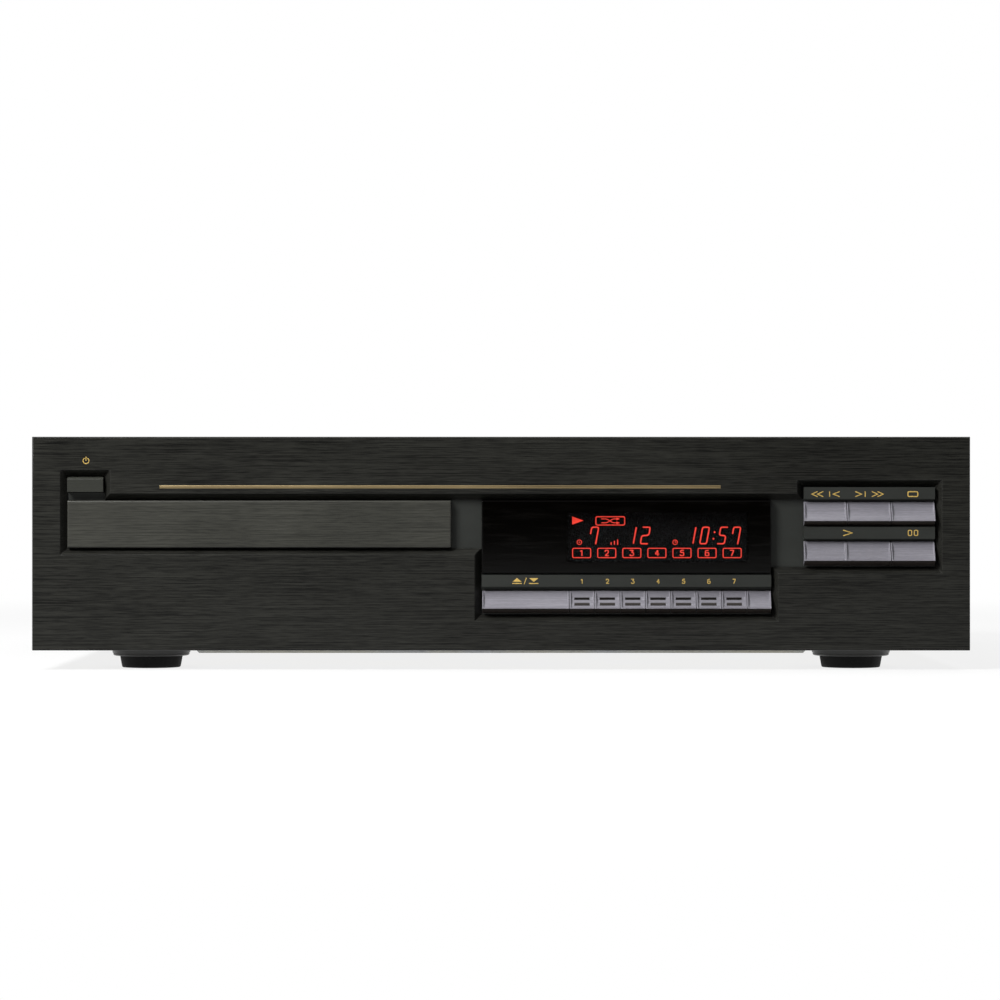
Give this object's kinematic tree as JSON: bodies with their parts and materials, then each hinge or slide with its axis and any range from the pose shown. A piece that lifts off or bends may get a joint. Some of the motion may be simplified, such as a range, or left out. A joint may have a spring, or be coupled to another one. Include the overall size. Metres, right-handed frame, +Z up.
{
  "type": "disc changer",
  "caption": "Full-width black disc changer: stepped bevelled front with loading drawer, display, numbered disc keys and transport keys, over a rear stocker with lift.",
  "frame": {"origin": "middle of the footprint on the surface that the feet stand on", "axes": "+X to the right seen from the front, +Y to the back, +Z up"},
  "size_m": [0.43, 0.34, 0.107],
  "materials": {
    "accent_metal": "satin",
    "base_plastic": "moulded",
    "belt_rubber": "matte",
    "button_plastic": "satin painted",
    "capacitor_sleeve": "sleeve",
    "carrier_plastic": "moulded",
    "circuit_board": "phenolic paper",
    "coil_tape": "wrapped tape",
    "core_steel": "varnished laminations",
    "cover_paint": "fine satin",
    "dark_plastic": "matte",
    "drawer_plastic": "moulded",
    "foot_plastic": "satin",
    "frame_steel": "pressed",
    "gear_plastic": "natural",
    "jack_metal": "plated",
    "jack_plastic": "matte",
    "key_plastic": "satin painted",
    "lens_glass": "coated",
    "motor_steel": "drawn can",
    "pad_rubber": "matte",
    "pan_steel": "zinc plated",
    "panel_metal": "brushed black anodised",
    "pin_brass": "turned",
    "rod_steel": "ground",
    "screw_steel": "black zinc",
    "switch_plastic": "matte",
    "tray_metal": "brushed",
    "tube_glass": "clear",
    "window_plastic": "gloss"
  },
  "bodies": {
    "case": {"front_panel": "panel_metal", "accent_strip": "accent_metal", "control_bezel": "dark_plastic", "display_window": "window_plastic", "display_tube": "tube_glass", "front_boards": "circuit_board", "key_switches": "switch_plastic", "power_switch": "switch_plastic", "key_row_cap": "key_plastic", "chassis_pan": "pan_steel", "top_cover": "cover_paint", "rear_panel": "cover_paint", "feet": "foot_plastic", "foot_pads": "pad_rubber", "case_screws": "screw_steel", "jack_block": "jack_plastic", "output_jacks": "jack_metal", "mains_inlet": "jack_plastic", "inlet_pins": "pin_brass", "transformer_core": "core_steel", "transformer_coil": "coil_tape", "main_board": "circuit_board", "capacitors": "capacitor_sleeve", "mechanism_base": "base_plastic", "loading_motor": "motor_steel", "drive_belt": "belt_rubber", "guide_posts": "rod_steel", "lift_motor": "motor_steel", "clamp_bridge": "frame_steel"},
    "load_key": {"load_key": "key_plastic"},
    "disc_key_1": {"disc_key_1": "key_plastic"},
    "disc_key_2": {"disc_key_2": "key_plastic"},
    "disc_key_3": {"disc_key_3": "key_plastic"},
    "disc_key_4": {"disc_key_4": "key_plastic"},
    "disc_key_5": {"disc_key_5": "key_plastic"},
    "disc_key_6": {"disc_key_6": "key_plastic"},
    "disc_key_7": {"disc_key_7": "key_plastic"},
    "skip_back_key": {"skip_back_key": "key_plastic"},
    "skip_forward_key": {"skip_forward_key": "key_plastic"},
    "stop_key": {"stop_key": "key_plastic"},
    "play_key": {"play_key": "key_plastic"},
    "pause_key": {"pause_key": "key_plastic"},
    "power_button": {"power_button": "button_plastic"},
    "drawer": {"drawer": "drawer_plastic", "tray_front": "tray_metal", "loaded_carrier": "carrier_plastic"},
    "drive_gear": {"drive_gear": "gear_plastic"},
    "pulley_gear": {"pulley_gear": "gear_plastic"},
    "motor_pulley": {"motor_pulley": "gear_plastic"},
    "pickup": {"pickup_frame": "frame_steel", "sled_rods": "rod_steel", "spindle_motor": "motor_steel"},
    "turntable": {"turntable": "drawer_plastic"},
    "sled": {"pickup_sled": "drawer_plastic", "pickup_lens": "lens_glass"},
    "clamp_disc": {"clamp_disc": "gear_plastic"},
    "stocker": {"stocker_cage": "base_plastic", "stocked_carriers": "carrier_plastic"},
    "lift_cam": {"lift_cam": "gear_plastic"},
    "lift_gear": {"lift_gear": "gear_plastic"}
  },
  "joints": [
    {"name": "drawer_slide", "type": "slide", "parent": "case", "child": "drawer", "axis": [0, -1, 0], "range_m": [0, 0.14]},
    {"name": "drive_gear_spin", "type": "hinge", "parent": "case", "child": "drive_gear", "pos_m": [-0.05795, -0.149, 0.0579], "axis": [0, 0, 1], "range_deg": [-893.27, 2]},
    {"name": "pulley_gear_spin", "type": "hinge", "parent": "case", "child": "pulley_gear", "pos_m": [-0.07305, -0.149, 0.0579], "axis": [0, 0, 1], "range_deg": [-2, 1338.9]},
    {"name": "motor_pulley_spin", "type": "hinge", "parent": "case", "child": "motor_pulley", "pos_m": [-0.11105, -0.149, 0.0579], "axis": [0, 0, 1], "range_deg": [-2, 4014.7]},
    {"name": "pickup_lift", "type": "slide", "parent": "case", "child": "pickup", "axis": [0, 0, 1], "range_m": [0, 0.0098]},
    {"name": "turntable_spin", "type": "hinge", "parent": "pickup", "child": "turntable", "pos_m": [-0.1109, -0.089, 0.0598], "axis": [0, 0, 1], "continuous": true},
    {"name": "sled_slide", "type": "slide", "parent": "pickup", "child": "sled", "axis": [0, 1, 0], "range_m": [0, 0.034]},
    {"name": "clamp_spin", "type": "hinge", "parent": "case", "child": "clamp_disc", "pos_m": [-0.1109, -0.089, 0.0711], "axis": [0, 0, 1], "continuous": true},
    {"name": "stocker_lift", "type": "slide", "parent": "case", "child": "stocker", "axis": [0, 0, 1], "range_m": [-0.0252, 0]},
    {"name": "lift_cam_slide", "type": "slide", "parent": "case", "child": "lift_cam", "axis": [0, -1, 0], "range_m": [-0.0002, 0.0602]},
    {"name": "lift_gear_spin", "type": "hinge", "parent": "case", "child": "lift_gear", "pos_m": [-0.01485, 0.044, 0.044], "axis": [0, 0, 1], "range_deg": [-2, 345.77]},
    {"name": "load_key_press", "type": "slide", "parent": "case", "child": "load_key", "axis": [0, 1, 0], "range_m": [0, 0.001], "stiffness_N_per_m": 700, "springref_m": -0.0012},
    {"name": "disc_key_1_press", "type": "slide", "parent": "case", "child": "disc_key_1", "axis": [0, 1, 0], "range_m": [0, 0.001], "stiffness_N_per_m": 700, "springref_m": -0.0012},
    {"name": "disc_key_2_press", "type": "slide", "parent": "case", "child": "disc_key_2", "axis": [0, 1, 0], "range_m": [0, 0.001], "stiffness_N_per_m": 700, "springref_m": -0.0012},
    {"name": "disc_key_3_press", "type": "slide", "parent": "case", "child": "disc_key_3", "axis": [0, 1, 0], "range_m": [0, 0.001], "stiffness_N_per_m": 700, "springref_m": -0.0012},
    {"name": "disc_key_4_press", "type": "slide", "parent": "case", "child": "disc_key_4", "axis": [0, 1, 0], "range_m": [0, 0.001], "stiffness_N_per_m": 700, "springref_m": -0.0012},
    {"name": "disc_key_5_press", "type": "slide", "parent": "case", "child": "disc_key_5", "axis": [0, 1, 0], "range_m": [0, 0.001], "stiffness_N_per_m": 700, "springref_m": -0.0012},
    {"name": "disc_key_6_press", "type": "slide", "parent": "case", "child": "disc_key_6", "axis": [0, 1, 0], "range_m": [0, 0.001], "stiffness_N_per_m": 700, "springref_m": -0.0012},
    {"name": "disc_key_7_press", "type": "slide", "parent": "case", "child": "disc_key_7", "axis": [0, 1, 0], "range_m": [0, 0.001], "stiffness_N_per_m": 700, "springref_m": -0.0012},
    {"name": "skip_back_key_press", "type": "slide", "parent": "case", "child": "skip_back_key", "axis": [0, 1, 0], "range_m": [0, 0.001], "stiffness_N_per_m": 700, "springref_m": -0.0012},
    {"name": "skip_forward_key_press", "type": "slide", "parent": "case", "child": "skip_forward_key", "axis": [0, 1, 0], "range_m": [0, 0.001], "stiffness_N_per_m": 700, "springref_m": -0.0012},
    {"name": "stop_key_press", "type": "slide", "parent": "case", "child": "stop_key", "axis": [0, 1, 0], "range_m": [0, 0.001], "stiffness_N_per_m": 700, "springref_m": -0.0012},
    {"name": "play_key_press", "type": "slide", "parent": "case", "child": "play_key", "axis": [0, 1, 0], "range_m": [0, 0.001], "stiffness_N_per_m": 700, "springref_m": -0.0012},
    {"name": "pause_key_press", "type": "slide", "parent": "case", "child": "pause_key", "axis": [0, 1, 0], "range_m": [0, 0.001], "stiffness_N_per_m": 700, "springref_m": -0.0012},
    {"name": "power_button_press", "type": "slide", "parent": "case", "child": "power_button", "axis": [0, 1, 0], "range_m": [0, 0.003], "stiffness_N_per_m": 500, "springref_m": -0.002}
  ],
  "couplings": [
    {"joint": "drive_gear_spin", "follows": "drawer_slide", "rad_per_m": -111.11},
    {"joint": "pulley_gear_spin", "follows": "drawer_slide", "rad_per_m": 166.67},
    {"joint": "motor_pulley_spin", "follows": "drawer_slide", "rad_per_m": 500},
    {"joint": "clamp_spin", "follows": "turntable_spin", "ratio": 1},
    {"joint": "lift_cam_slide", "follows": "stocker_lift", "ratio": -2.381},
    {"joint": "lift_gear_spin", "follows": "stocker_lift", "rad_per_m": -238.1}
  ]
}
